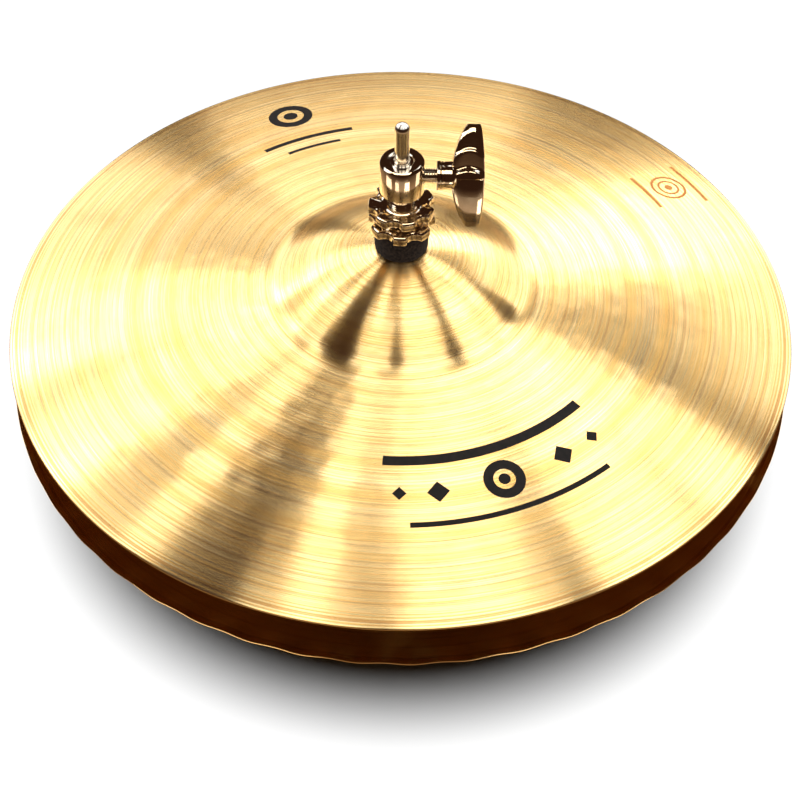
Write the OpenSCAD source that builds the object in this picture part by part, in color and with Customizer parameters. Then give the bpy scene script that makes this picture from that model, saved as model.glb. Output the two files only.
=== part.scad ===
// A pair of hi-hat cymbals on a drop clutch, a pull rod and a tilting lower seat.
// Millimetres, +Z up. The origin is the mouth of the socket that sits on a stand's upper tube.

/* [Cymbals] */
// Diameter of both cymbals
cymbal_d = 330; // [310:1:350]
// Thickness of the bronze sheet
cymbal_t = 1.1; // [0.9:0.1:1.4]
// Radius of the holes at the middle of the bells
hole_r = 6.2; // [6.1:0.1:6.6]
// Radius at which the bow starts, outside the bell's fillet
bow_start_r = 58; // [55:1:62]
// Slope of the bow at its outer edge, in degrees
edge_slope = 17; // [15:0.5:19]
// Slope of the bow at its start, in degrees
bow_slope = 6; // [5:0.5:8]
// Steepest slope of the bell's side, in degrees
bell_slope = 39; // [36:1:41]
// Radius of the fillet between the bell and the bow
bell_fillet = 16; // [13:1:18]
// Gap between the two edges with the pedal up
edge_gap = 22; // [18:1:30]

/* [Pull rod] */
// Radius of the pull rod
rod_r = 3; // [2.8:0.1:3]
// Length of rod that stands above the clutch
rod_above = 18.8; // [16:0.2:40]
// Length of rod below the seat's socket
rod_below = 40; // [25:1:80]
// Length of the thread at the rod's lower end
rod_thread_h = 14; // [8:1:20]

/* [Clutch] */
// Radius of the threaded sleeve
sleeve_r = 5; // [4.8:0.1:5.2]
// Radius of the barrel
barrel_r = 9; // [8:0.1:10]
// Height of the barrel
barrel_h = 15.3; // [14:0.1:18]
// Length of bare thread between the upper nut and the barrel
neck_h = 7.1; // [4:0.1:12]
// Radius of the lock nuts over their lobes
nut_r = 13.6; // [13:0.1:15]
// Number of lobes on a lock nut
lobe_count = 7; // [5:1:8]
// Radius of the hollows between the lobes
scallop_r = 4; // [3.5:0.1:4.5]
// Thickness of a lock nut's lobed disc
nut_h = 4.2; // [3.5:0.1:5]
// Height of the upper lock nut's hub
hub_h = 3.5; // [2.5:0.1:5]
// Angle of the first lobe of the upper lock nut
upper_nut_angle = -77; // [-90:1:0]
// Angle of the first lobe of the lower lock nut
lower_nut_angle = -93; // [-120:1:0]

/* [Felts] */
// Radius of the felt above the top cymbal
upper_felt_r = 11.2; // [10.5:0.1:13]
// Thickness of the felt above the top cymbal
upper_felt_h = 11.7; // [9:0.1:14]
// Radius of the felt below the top cymbal
lower_felt_r = 11; // [10:0.1:12]
// Thickness of the felt below the top cymbal
lower_felt_h = 6; // [5:0.5:8]
// Radius of the felt under the bottom cymbal
seat_felt_r = 18; // [16:0.5:19]
// Thickness of the felt under the bottom cymbal
seat_felt_h = 8.5; // [7:0.5:10]

/* [Clamp bolt] */
// Radius of the clamp screw
screw_r = 3; // [2.5:0.1:3]
// Distance from the axis to the face of the captive washer
washer_x = 13.8; // [13:0.1:16]
// Thickness of the captive washer
washer_h = 1.7; // [1.2:0.1:2]
// Length of the wing handle's hub
wing_hub_h = 4.1; // [3:0.1:6]
// Width of the wings along the screw
wing_w = 13.3; // [11:0.1:15]
// Distance between the tips of the wings
wing_span = 43; // [38:1:48]
// Thickness of the wings at the hub
wing_mid_t = 8.6; // [7:0.1:10]
// Thickness of the wings at their tips
wing_tip_t = 2.7; // [2.2:0.1:3.4]
// Lean of the wings away from upright towards +Y, in degrees
wing_lean = 20; // [0:1:40]

/* [Seat] */
// Radius of the socket's bore, for a stand's upper tube
socket_r = 6.4; // [6.2:0.1:6.6]
// Depth of the socket
socket_depth = 18; // [15:1:24]
// Radius of the seat cup
cup_r = 24; // [23:0.5:27]
// Distance from the axis to the tilt screw
tilt_x = 17.5; // [17.5:0.1:18.5]

/* [Hidden] */

$fn = 96;
fit = 0.05;          // running clearance on a radius
rest_gap = 0.05;     // gap between faces that rest on each other across a joint
over = 1;            // how far a cutter runs past the face it cuts

// Cymbal section: a spherical bell, a concave fillet and a convex bow, tangent to each other
cymbal_r = cymbal_d / 2;
bow_radius = (cymbal_r - bow_start_r) / (sin(edge_slope) - sin(bow_slope));
bow_start_z = bow_radius * (cos(bow_slope) - cos(edge_slope));
bell_edge_r = bow_start_r - bell_fillet * (sin(bell_slope) - sin(bow_slope));
bell_edge_z = bow_start_z + bell_fillet * (cos(bow_slope) - cos(bell_slope));
bell_radius = bell_edge_r / sin(bell_slope);
bell_top = bell_edge_z + bell_radius * (1 - cos(bell_slope));

// Height of the bell's outer surface above the cymbal's edge, at radius r
function bell_z(r) = bell_top - bell_radius + sqrt(bell_radius * bell_radius - r * r);

// Seat heights
socket_out_r = 9.5;
socket_wall = 6;                       // wall between the socket and the cup
cup_z = socket_depth + socket_wall;
cup_floor = 4;
cup_lip_h = 3;
cup_lip_t = 1.4;
plate_z = cup_z + cup_floor + 0.1;
plate_h = 1.5;
plate_r = 20;
seat_felt_z = plate_z + plate_h;
seat_top = seat_felt_z + seat_felt_h;
guide_r = 5.2;                         // nylon sleeve through the bottom cymbal
guide_top = seat_top + 8;
tenon_r = 7;
bushing_r = 4.6;

// Cymbal heights
bottom_edge_z = seat_top + rest_gap + bell_z(hole_r);
top_edge_z = bottom_edge_z + edge_gap;

// Clutch heights
upper_felt_z = top_edge_z + bell_z(hole_r) + rest_gap;
lower_nut_z = upper_felt_z + upper_felt_h + rest_gap;
upper_nut_z = lower_nut_z + nut_h + rest_gap;
neck_z = upper_nut_z + hub_h + nut_h;
barrel_z = neck_z + neck_h;
barrel_top = barrel_z + barrel_h;
sleeve_in_barrel = 3;
clamp_z = barrel_z + 7.3;
lower_felt_z = top_edge_z + bell_z(lower_felt_r) - cymbal_t - 0.15 - lower_felt_h;
bottom_nut_flange_h = 3;
bottom_nut_h = 8;
bottom_nut_z = lower_felt_z - rest_gap - bottom_nut_h;
sleeve_z = bottom_nut_z - 1;

// Tilt screw under the cup, with a knob below and a foot on top
tilt_screw_r = 2.5;
boss_r = 5;
tilt_boss_h = 3;
knob_h = 7;
knob_r = 7.2;
knob_z = cup_z - tilt_boss_h - knob_h - 2;
foot_h = 1.4;
foot_cone_h = 0.6;
foot_z = plate_z - 0.1 - foot_cone_h - foot_h;

// Set screw through the socket's side
set_screw_z = 9;
set_screw_r = 2.5;
set_boss_x = socket_out_r + 2.5;
set_head_x = set_boss_x + 1.5;
set_head_h = 5;
set_head_r = 5.5;

// Clamp screw, from its tip near the rod to its end inside the wing handle's hub
clamp_tip_x = rod_r + 0.1;
hub_x = washer_x + washer_h + rest_gap;
clamp_end_x = hub_x + wing_hub_h + 3;
washer_r = 6;
hub_r = 5.8;

// Points on an arc of the section, from slope a to slope b; side is 1 for a convex arc and -1 for
// a concave one, and skip leaves out the ends that a neighbouring arc already holds.
function arc_points(cx, cz, radius, a, b, steps, side, skip = 0) = [
    for (i = [skip : steps - skip])
        let (s = a + (b - a) * i / steps)
        [cx + side * radius * sin(s), cz + side * radius * cos(s)]
];

// One face of the sheet: the outer face for t = 0, the inner face for t = the sheet's thickness
hole_slope = asin(hole_r / bell_radius);
function sheet_face(t) = concat(
    arc_points(0, bell_top - bell_radius, bell_radius - t, hole_slope, bell_slope, 12, 1),
    arc_points(bow_start_r + bell_fillet * sin(bow_slope), bow_start_z + bell_fillet * cos(bow_slope),
               bell_fillet + t, bell_slope, bow_slope, 8, -1, skip = 1),
    arc_points(cymbal_r - bow_radius * sin(edge_slope), -bow_radius * cos(edge_slope),
               bow_radius - t, bow_slope, edge_slope, 16, 1)
);

function reversed(list) = [for (i = [len(list) - 1 : -1 : 0]) list[i]];

// One cymbal, edge at z = 0, bell up
module cymbal() {
    rotate_extrude($fn = 180)
        polygon(concat(sheet_face(0), reversed(sheet_face(cymbal_t))));
}

module tube(z, h, outer, inner) {
    translate([0, 0, z])
        difference() {
            cylinder(h = h, r = outer);
            translate([0, 0, -over])
                cylinder(h = h + 2 * over, r = inner);
        }
}

// A round bar along +X at height z
module bar_x(x, z, length, r) {
    translate([x, 0, z])
        rotate([0, 90, 0])
            cylinder(h = length, r = r);
}

// A wheel with fluted grips, for knobs and round nuts
module grip_wheel(h, r, flutes, flute_r) {
    linear_extrude(height = h)
        difference() {
            circle(r = r);
            for (i = [0 : flutes - 1])
                rotate(i * 360 / flutes)
                    translate([r + flute_r * 0.55, 0])
                        circle(r = flute_r, $fn = 24);
        }
}

// Lobed disc of a lock nut, with a bevelled upper rim
module lobed_disc(angle) {
    bevel = 0.8;
    difference() {
        union() {
            cylinder(h = nut_h - bevel, r = nut_r);
            translate([0, 0, nut_h - bevel])
                cylinder(h = bevel, r1 = nut_r, r2 = nut_r - bevel);
        }
        for (i = [0 : lobe_count - 1])
            rotate(angle + (i + 0.5) * 360 / lobe_count)
                translate([nut_r + scallop_r * 0.425, 0, -over])
                    cylinder(h = nut_h + 2 * over, r = scallop_r);
    }
}

module tube_socket() {
    color("silver")
        difference() {
            union() {
                cylinder(h = cup_z, r = socket_out_r);
                cylinder(h = cup_z + cup_floor, r = tenon_r);
                bar_x(0, set_screw_z, set_boss_x, boss_r);
            }
            translate([0, 0, -over])
                cylinder(h = socket_depth + over, r = socket_r);
            cylinder(h = cup_z, r = bushing_r);
            translate([0, 0, cup_z])
                cylinder(h = cup_floor + over, r = guide_r);
            bar_x(0, set_screw_z, set_boss_x + over, set_screw_r + fit);
        }
}

module socket_screw() {
    color("gainsboro")
        union() {
            bar_x(socket_r + 0.1, set_screw_z, set_head_x - socket_r, set_screw_r);
            translate([set_head_x, 0, set_screw_z])
                rotate([0, 90, 0])
                    grip_wheel(set_head_h, set_head_r, 18, 0.7);
        }
}

module rod_bushing() {
    color("goldenrod")
        tube(socket_depth, socket_wall, bushing_r, rod_r + fit);
}

module seat_cup() {
    color("silver")
        difference() {
            union() {
                translate([0, 0, cup_z])
                    cylinder(h = cup_floor + cup_lip_h, r = cup_r);
                translate([-tilt_x, 0, cup_z - tilt_boss_h])
                    cylinder(h = tilt_boss_h + 1, r = boss_r);
            }
            translate([0, 0, cup_z + cup_floor])
                cylinder(h = cup_lip_h + over, r = cup_r - cup_lip_t);
            translate([0, 0, cup_z - over])
                cylinder(h = cup_floor + 2 * over, r = tenon_r);
            translate([-tilt_x, 0, cup_z - tilt_boss_h - over])
                cylinder(h = tilt_boss_h + cup_floor + 2 * over, r = tilt_screw_r + fit);
            cylinder(h = cup_z, r = socket_out_r);
        }
}

module seat_sleeve() {
    color("ivory")
        tube(cup_z, guide_top - cup_z, guide_r, rod_r + 0.6);
}

module tilt_foot() {
    color("goldenrod")
        translate([-tilt_x, 0, foot_z])
            union() {
                cylinder(h = foot_h, r = tilt_screw_r);
                translate([0, 0, foot_h])
                    cylinder(h = foot_cone_h, r1 = tilt_screw_r, r2 = tilt_screw_r / 2);
            }
}

module tilt_screw() {
    color("gainsboro")
        translate([-tilt_x, 0, knob_z])
            cylinder(h = foot_z - rest_gap - knob_z, r = tilt_screw_r);
}

module tilt_knob() {
    color("dimgray")
        translate([-tilt_x, 0, knob_z])
            difference() {
                grip_wheel(knob_h, knob_r, 24, 0.7);
                translate([0, 0, -over])
                    cylinder(h = knob_h + 2 * over, r = tilt_screw_r);
            }
}

module seat_plate() {
    color("silver")
        tube(plate_z, plate_h, plate_r, hole_r);
}

module seat_felt() {
    color("#2b2523")
        tube(seat_felt_z, seat_felt_h, seat_felt_r, hole_r);
}

module bottom_cymbal() {
    color("#c8913c")
        translate([0, 0, bottom_edge_z])
            mirror([0, 0, 1])
                cymbal();
}

module pull_rod() {
    top = barrel_top + rod_above;
    relief_h = 2;        // groove where the thread runs out
    shaft_z = rod_thread_h + relief_h - rod_below;
    color("gainsboro")
        union() {
            translate([0, 0, -rod_below])
                cylinder(h = rod_thread_h, r = rod_r - 0.1);
            translate([0, 0, rod_thread_h - rod_below - over])
                cylinder(h = relief_h + 2 * over, r = rod_r - 0.6);
            translate([0, 0, shaft_z])
                cylinder(h = top - rod_r - shaft_z, r = rod_r);
            translate([0, 0, top - rod_r])
                sphere(r = rod_r);
        }
}

module threaded_sleeve() {
    color("silver")
        tube(sleeve_z, barrel_z + sleeve_in_barrel - sleeve_z, sleeve_r, rod_r + fit);
}

module clutch_barrel() {
    bevel = 0.9;
    color("silver")
        difference() {
            union() {
                translate([0, 0, barrel_z])
                    cylinder(h = barrel_h - bevel, r = barrel_r);
                translate([0, 0, barrel_top - bevel])
                    cylinder(h = bevel, r1 = barrel_r, r2 = barrel_r - bevel);
            }
            translate([0, 0, barrel_z - over])
                cylinder(h = barrel_h + 2 * over, r = rod_r + fit);
            translate([0, 0, barrel_z - over])
                cylinder(h = sleeve_in_barrel + over, r = sleeve_r);
            translate([0, 0, barrel_top - 0.5])
                cylinder(h = 0.5 + over, r = rod_r + 1.6);
            bar_x(0, clamp_z, barrel_r + over, screw_r + fit);
        }
}

module clamp_washer() {
    color("silver")
        difference() {
            bar_x(washer_x, clamp_z, washer_h, washer_r);
            bar_x(washer_x - over, clamp_z, washer_h + 2 * over, screw_r + fit);
        }
}

module clamp_screw() {
    color("gainsboro")
        bar_x(clamp_tip_x, clamp_z, clamp_end_x - clamp_tip_x, screw_r);
}

// Outline of both wings: x runs along the screw from the hub's outer face, y along the span.
// Both sides are parabolas: the inner one bulges, the outer one is nearly straight.
wing_half = wing_span / 2;
tip_inner_x = 0.42 * wing_w;
tip_outer_drop = 1.8;
wing_steps = [-1 : 0.125 : 1];
module wing_outline() {
    polygon(concat(
        [for (k = wing_steps) [tip_inner_x * k * k, wing_half * k]],
        [for (k = wing_steps) [wing_w - tip_outer_drop * k * k, -wing_half * k]]
    ));
}

// Side view of both wings: x is the half thickness, y runs along the span
function wing_half_t(k) = (wing_tip_t + (wing_mid_t - wing_tip_t) * (1 - abs(k))) / 2;
module wing_side() {
    polygon(concat(
        [for (k = [-1, 0, 1]) [wing_half_t(k), wing_half * k]],
        [for (k = [1, 0, -1]) [-wing_half_t(k), wing_half * k]]
    ));
}

module wing_handle() {
    color("silver")
        difference() {
            union() {
                bar_x(hub_x, clamp_z, wing_hub_h + 2, hub_r);
                translate([hub_x + wing_hub_h, 0, clamp_z])
                    rotate([-wing_lean, 0, 0])
                        intersection() {
                            rotate([90, 0, 0])
                                translate([0, 0, -wing_mid_t])
                                    linear_extrude(height = 2 * wing_mid_t)
                                        wing_outline();
                            rotate([90, 0, 90])
                                linear_extrude(height = wing_w)
                                    wing_side();
                        }
            }
            bar_x(hub_x - over, clamp_z, clamp_end_x - hub_x + over, screw_r);
        }
}

module upper_lock_nut() {
    color("silver")
        difference() {
            union() {
                translate([0, 0, upper_nut_z])
                    cylinder(h = hub_h, r = 8);
                translate([0, 0, upper_nut_z + hub_h])
                    lobed_disc(upper_nut_angle);
            }
            translate([0, 0, upper_nut_z - over])
                cylinder(h = hub_h + nut_h + 2 * over, r = sleeve_r + fit);
            translate([0, 0, neck_z - 0.8])
                cylinder(h = 0.8 + over, r1 = 7, r2 = 9);
        }
}

module lower_lock_nut() {
    color("silver")
        difference() {
            translate([0, 0, lower_nut_z])
                lobed_disc(lower_nut_angle);
            translate([0, 0, lower_nut_z - over])
                cylinder(h = nut_h + 2 * over, r = sleeve_r + fit);
        }
}

module upper_felt() {
    color("#1d1816")
        tube(upper_felt_z, upper_felt_h, upper_felt_r, sleeve_r + 0.3);
}

module top_cymbal() {
    color("#d9a24a")
        translate([0, 0, top_edge_z])
            cymbal();
}

module lower_felt() {
    color("#1d1816")
        tube(lower_felt_z, lower_felt_h, lower_felt_r, sleeve_r + 0.3);
}

module clutch_bottom_nut() {
    color("silver")
        difference() {
            union() {
                translate([0, 0, bottom_nut_z])
                    grip_wheel(bottom_nut_h - bottom_nut_flange_h, 8.5, 20, 0.8);
                translate([0, 0, bottom_nut_z + bottom_nut_h - bottom_nut_flange_h])
                    cylinder(h = bottom_nut_flange_h, r = 10.5);
            }
            translate([0, 0, bottom_nut_z - over])
                cylinder(h = bottom_nut_h + 2 * over, r = sleeve_r + fit);
        }
}

tube_socket();
socket_screw();
rod_bushing();
seat_cup();
seat_sleeve();
tilt_foot();
tilt_screw();
tilt_knob();
seat_plate();
seat_felt();
bottom_cymbal();
pull_rod();
threaded_sleeve();
clutch_barrel();
clamp_washer();
clamp_screw();
wing_handle();
upper_lock_nut();
lower_lock_nut();
upper_felt();
top_cymbal();
lower_felt();
clutch_bottom_nut();
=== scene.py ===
import bpy, bmesh, math, random
from math import cos, pi, radians, sin
from mathutils import Matrix, Vector, noise
from mathutils.kdtree import KDTree


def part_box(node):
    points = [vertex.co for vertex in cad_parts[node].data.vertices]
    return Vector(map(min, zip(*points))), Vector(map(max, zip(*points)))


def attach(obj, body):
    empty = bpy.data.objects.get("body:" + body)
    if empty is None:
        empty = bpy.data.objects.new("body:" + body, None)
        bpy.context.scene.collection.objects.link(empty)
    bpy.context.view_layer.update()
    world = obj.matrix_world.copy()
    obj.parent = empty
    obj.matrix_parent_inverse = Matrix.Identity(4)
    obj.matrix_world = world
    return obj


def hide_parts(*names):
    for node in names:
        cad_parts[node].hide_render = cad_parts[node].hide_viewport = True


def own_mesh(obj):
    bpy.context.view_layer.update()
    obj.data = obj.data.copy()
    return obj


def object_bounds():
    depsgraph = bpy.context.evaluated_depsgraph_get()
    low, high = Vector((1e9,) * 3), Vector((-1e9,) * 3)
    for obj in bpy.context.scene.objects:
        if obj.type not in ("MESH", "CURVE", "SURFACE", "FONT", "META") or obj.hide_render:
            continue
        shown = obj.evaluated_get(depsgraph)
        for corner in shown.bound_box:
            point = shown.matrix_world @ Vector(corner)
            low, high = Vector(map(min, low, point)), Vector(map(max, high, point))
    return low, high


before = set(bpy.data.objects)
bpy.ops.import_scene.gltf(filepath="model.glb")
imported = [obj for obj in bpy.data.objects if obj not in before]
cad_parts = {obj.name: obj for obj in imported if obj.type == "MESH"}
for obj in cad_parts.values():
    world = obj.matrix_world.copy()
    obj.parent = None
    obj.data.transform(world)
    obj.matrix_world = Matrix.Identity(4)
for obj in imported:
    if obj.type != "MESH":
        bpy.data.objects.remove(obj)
cadBounds = [list(corner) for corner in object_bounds()]
mm = 0.001
scene = bpy.context.scene
scene.view_settings.view_transform = "Standard"
print("frame loaded:", len(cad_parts), "nodes")


# node helpers: each adds one node and hands back what comes out of it

def addNode(tree, kind, **settings):
    node = tree.nodes.new(kind)
    for key, value in settings.items():
        setattr(node, key, value)
    return node


def plug(tree, socket, value):
    if isinstance(value, (int, float)):
        socket.default_value = value
    elif isinstance(value, tuple):
        socket.default_value = (*value, 1) if len(value) == 3 and socket.type == "RGBA" else value
    else:
        tree.links.new(value, socket)


def mathNode(tree, operation, a, b=0.0, clamp=False):
    node = addNode(tree, "ShaderNodeMath", operation=operation, use_clamp=clamp)
    plug(tree, node.inputs[0], a)
    plug(tree, node.inputs[1], b)
    return node.outputs[0]


def times(tree, a, b):
    return mathNode(tree, "MULTIPLY", a, b)


def plus(tree, a, b, clamp=False):
    return mathNode(tree, "ADD", a, b, clamp)


def vectorNode(tree, operation, a, b=None):
    node = addNode(tree, "ShaderNodeVectorMath", operation=operation)
    plug(tree, node.inputs[0], a)
    if b is not None:
        plug(tree, node.inputs[1], b)
    return node.outputs["Value" if operation == "LENGTH" else "Vector"]


def mapRange(tree, value, fromLow, fromHigh, toLow=0.0, toHigh=1.0):
    node = addNode(tree, "ShaderNodeMapRange")
    for socket, number in zip(node.inputs, (value, fromLow, fromHigh, toLow, toHigh)):
        plug(tree, socket, number)
    return node.outputs["Result"]


def mixColour(tree, amount, a, b, blend="MIX"):
    node = addNode(tree, "ShaderNodeMix", data_type="RGBA", blend_type=blend)
    plug(tree, node.inputs["Factor"], amount)
    colours = [s for s in node.inputs if s.type == "RGBA"]
    plug(tree, colours[0], a)
    plug(tree, colours[1], b)
    return [s for s in node.outputs if s.type == "RGBA"][0]


def noiseNode(tree, vector, scale, detail=2.0, roughness=0.5, kind="3D"):
    node = addNode(tree, "ShaderNodeTexNoise", noise_dimensions=kind)
    plug(tree, node.inputs["W" if kind == "1D" else "Vector"], vector)
    for key, number in (("Scale", scale), ("Detail", detail), ("Roughness", roughness)):
        node.inputs[key].default_value = number
    return node.outputs["Fac"]


def bumpNode(tree, height, distance, strength=1.0):
    node = addNode(tree, "ShaderNodeBump")
    node.inputs["Distance"].default_value = distance
    node.inputs["Strength"].default_value = strength
    plug(tree, node.inputs["Height"], height)
    return node.outputs["Normal"]


def objectPoint(tree):
    return addNode(tree, "ShaderNodeTexCoord").outputs["Object"]


def newMaterial(name, colour, metallic, roughness, **constants):
    material = bpy.data.materials.new(name)
    material.use_nodes = True
    shader = material.node_tree.nodes["Principled BSDF"]
    shader.inputs["Base Color"].default_value = (*colour, 1)
    shader.inputs["Metallic"].default_value = metallic
    shader.inputs["Roughness"].default_value = roughness
    for key, number in constants.items():
        shader.inputs[key].default_value = number
    return material, material.node_tree, shader


def newGroup(name, inputs, outputs):
    group = bpy.data.node_groups.new(name, "ShaderNodeTree")
    for label, kind, value in inputs:
        socket = group.interface.new_socket(name=label, in_out="INPUT", socket_type=kind)
        if value is not None:
            socket.default_value = value
    for label, kind in outputs:
        group.interface.new_socket(name=label, in_out="OUTPUT", socket_type=kind)
    return group, group.nodes.new("NodeGroupInput").outputs, group.nodes.new("NodeGroupOutput").inputs


def placeGroup(tree, group, **values):
    node = addNode(tree, "ShaderNodeGroup", node_tree=group)
    plug(tree, node.inputs["Vector"], objectPoint(tree))
    for key, number in values.items():
        node.inputs[key].default_value = number
    return node.outputs


# turned rings round the z axis: fine tool marks, broad bands and short streaks along the rings

def makeTurnedGroup():
    group, given, out = newGroup(
        "turnedRings",
        [("Vector", "NodeSocketVector", None), ("FineScale", "NodeSocketFloat", 1600.0),
         ("BandScale", "NodeSocketFloat", 130.0), ("StreakLength", "NodeSocketFloat", 7.0)],
        [("Fine", "NodeSocketFloat"), ("Lines", "NodeSocketFloat"), ("Bands", "NodeSocketFloat"),
         ("Streaks", "NodeSocketFloat"), ("Radius", "NodeSocketFloat")])
    tree = group
    flat = vectorNode(tree, "MULTIPLY", given["Vector"], (1.0, 1.0, 0.0))
    radius = vectorNode(tree, "LENGTH", flat)
    around = vectorNode(tree, "NORMALIZE", flat)
    lineScale = times(tree, given["FineScale"], 0.38)
    for label, scale, detail in (("Fine", given["FineScale"], 3.0), ("Bands", given["BandScale"], 2.0),
                                 ("Lines", lineScale, 1.0)):
        rings = noiseNode(tree, times(tree, radius, scale), 1.0, detail, kind="1D")
        plug(tree, out[label], rings)
    spread = addNode(tree, "ShaderNodeVectorMath", operation="SCALE")
    plug(tree, spread.inputs[0], around)
    plug(tree, spread.inputs["Scale"], given["StreakLength"])
    lift = addNode(tree, "ShaderNodeCombineXYZ")
    plug(tree, lift.inputs["Z"], times(tree, radius, given["FineScale"]))
    streaks = noiseNode(tree, vectorNode(tree, "ADD", spread.outputs[0], lift.outputs[0]), 1.0, 2.0)
    plug(tree, out["Streaks"], streaks)
    plug(tree, out["Radius"], radius)
    return group


# handling marks on polished parts: smudges in the gloss and hairline scratches

def makeHandlingGroup():
    group, given, out = newGroup(
        "handlingMarks",
        [("Vector", "NodeSocketVector", None), ("SmudgeScale", "NodeSocketFloat", 90.0),
         ("GrainScale", "NodeSocketFloat", 2500.0)],
        [("Smudges", "NodeSocketFloat"), ("Grain", "NodeSocketFloat")])
    for label, key, detail in (("Smudges", "SmudgeScale", 4.0), ("Grain", "GrainScale", 2.0)):
        cloud = addNode(group, "ShaderNodeTexNoise")
        plug(group, cloud.inputs["Vector"], given["Vector"])
        plug(group, cloud.inputs["Scale"], given[key])
        cloud.inputs["Detail"].default_value = detail
        plug(group, out[label], cloud.outputs["Fac"])
    return group


turnedRings = makeTurnedGroup()
handlingMarks = makeHandlingGroup()

bronzeLook = {
    "gold": (0.80, 0.48, 0.14), "pale": (0.94, 0.70, 0.35), "brown": (0.52, 0.24, 0.06),
    "roughness": 0.22, "anisotropy": 1.0, "ringDepth": 0.02 * mm, "ringRegion": (0.146, 0.163),
}


def makeBronze():
    look = bronzeLook
    material, tree, shader = newMaterial("lathedBronze", look["gold"], 1.0, look["roughness"],
                                         Anisotropic=look["anisotropy"])
    # the gloss runs across the rings
    shader.inputs["Anisotropic Rotation"].default_value = 0.25
    rings = placeGroup(tree, turnedRings)
    tone = plus(tree, times(tree, rings["Fine"], 0.45), times(tree, rings["Bands"], 0.3))
    tone = plus(tree, tone, times(tree, rings["Streaks"], 0.25))
    # deeper tool marks by the rim
    edgeZone = mapRange(tree, rings["Radius"], *look["ringRegion"])
    tone = plus(tree, tone, times(tree, edgeZone, mapRange(tree, rings["Fine"], 0.4, 0.6, -0.06, 0.08)))
    pale = mixColour(tree, mapRange(tree, tone, 0.38, 0.66), look["gold"], look["pale"])
    patches = noiseNode(tree, objectPoint(tree), 22.0, 5.0, 0.6)
    brown = times(tree, mapRange(tree, patches, 0.5, 0.75), 0.4)
    # darker brown rings along the lathe lines, stronger by the rim: painted shade standing in for the light
    # and dark banding of the turned grooves
    paintedRingShade = times(tree, mapRange(tree, rings["Lines"], 0.56, 0.66),
                    mapRange(tree, edgeZone, 0.0, 1.0, 0.3, 0.55))
    brown = plus(tree, brown, paintedRingShade, clamp=True)
    plug(tree, shader.inputs["Base Color"], mixColour(tree, brown, pale, look["brown"]))
    plug(tree, shader.inputs["Roughness"], mapRange(tree, tone, 0.3, 0.7, look["roughness"] + 0.05,
        look["roughness"] - 0.05))
    height = plus(tree, rings["Fine"], times(tree, rings["Streaks"], 0.5))
    height = plus(tree, height, times(tree, rings["Lines"], 1.6))
    plug(tree, shader.inputs["Normal"], bumpNode(tree, height, look["ringDepth"]))
    around = addNode(tree, "ShaderNodeTangent", direction_type="RADIAL", axis="Z")
    plug(tree, shader.inputs["Tangent"], around.outputs["Tangent"])
    return material


# polished and drawn metal share the handling marks, each with its own tone and gloss

metalLooks = {
    # the warm cast of the polished chrome's clean and dull tones is painted reflection of the gold cymbals
    "polishedChrome": {"clean": (0.80, 0.72, 0.60), "dull": (0.66, 0.56, 0.44), "gloss": (0.05, 0.13),
                       "grainDepth": 0.004 * mm},
    "drawnSteel": {"clean": (0.80, 0.76, 0.70), "dull": (0.62, 0.57, 0.50), "gloss": (0.10, 0.22),
                   "grainDepth": 0.008 * mm},
    "turnedBrass": {"clean": (0.80, 0.58, 0.26), "dull": (0.55, 0.36, 0.14), "gloss": (0.16, 0.32),
                    "grainDepth": 0.010 * mm},
}


def makeMetal(name):
    look = metalLooks[name]
    material, tree, shader = newMaterial(name, look["clean"], 1.0, look["gloss"][0])
    marks = placeGroup(tree, handlingMarks, SmudgeScale=150.0, GrainScale=1800.0)
    soiled = mapRange(tree, marks["Smudges"], 0.45, 0.72)
    plug(tree, shader.inputs["Base Color"], mixColour(tree, soiled, look["clean"], look["dull"]))
    plug(tree, shader.inputs["Roughness"], mapRange(tree, soiled, 0.0, 1.0, *look["gloss"]))
    plug(tree, shader.inputs["Normal"], bumpNode(tree, marks["Grain"], look["grainDepth"]))
    return material


# felt, nylon, moulded plastic and ink: a speckled tone over a fine grain

softLooks = {
    "pressedFelt": {"tones": ((0.010, 0.006, 0.004), (0.040, 0.024, 0.015)), "rough": (0.85, 1.0),
                    "speckle": 900.0,
                    "grain": 2600.0, "depth": 0.25 * mm, "extras": {"Sheen Weight": 0.04,
                        "Sheen Roughness": 0.5, "Specular IOR Level": 0.08}},
    "turnedNylon": {"tones": ((0.74, 0.70, 0.60), (0.84, 0.81, 0.73)), "rough": (0.35, 0.5), "speckle": 120.0,
                    "grain": 1500.0, "depth": 0.01 * mm, "extras": {"Specular IOR Level": 0.4}},
    "mouldedBlack": {"tones": ((0.018, 0.017, 0.016), (0.035, 0.033, 0.031)), "rough": (0.38, 0.55),
                     "speckle": 260.0,
                     "grain": 3200.0, "depth": 0.02 * mm, "extras": {"Specular IOR Level": 0.45}},
    "printedInk": {"tones": ((0.004, 0.003, 0.002), (0.012, 0.007, 0.005)), "rough": (0.4, 0.6),
                   "speckle": 400.0,
                   "grain": 4200.0, "depth": 0.004 * mm, "extras": {"Specular IOR Level": 0.12}},
    "amberInk": {"tones": ((0.50, 0.17, 0.03), (0.60, 0.24, 0.05)), "rough": (0.35, 0.5), "speckle": 400.0,
                 "grain": 4200.0, "depth": 0.004 * mm, "extras": {"Specular IOR Level": 0.15}},
}


def makeSoft(name):
    look = softLooks[name]
    material, tree, shader = newMaterial(name, look["tones"][0], 0.0, look["rough"][1], **look["extras"])
    marks = placeGroup(tree, handlingMarks, SmudgeScale=look["speckle"], GrainScale=look["grain"])
    plug(tree, shader.inputs["Base Color"], mixColour(tree, mapRange(tree, marks["Smudges"], 0.35, 0.7),
        *look["tones"]))
    plug(tree, shader.inputs["Roughness"], mapRange(tree, marks["Grain"], 0.3, 0.7, *look["rough"]))
    plug(tree, shader.inputs["Normal"], bumpNode(tree, marks["Grain"], look["depth"]))
    return material


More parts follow.
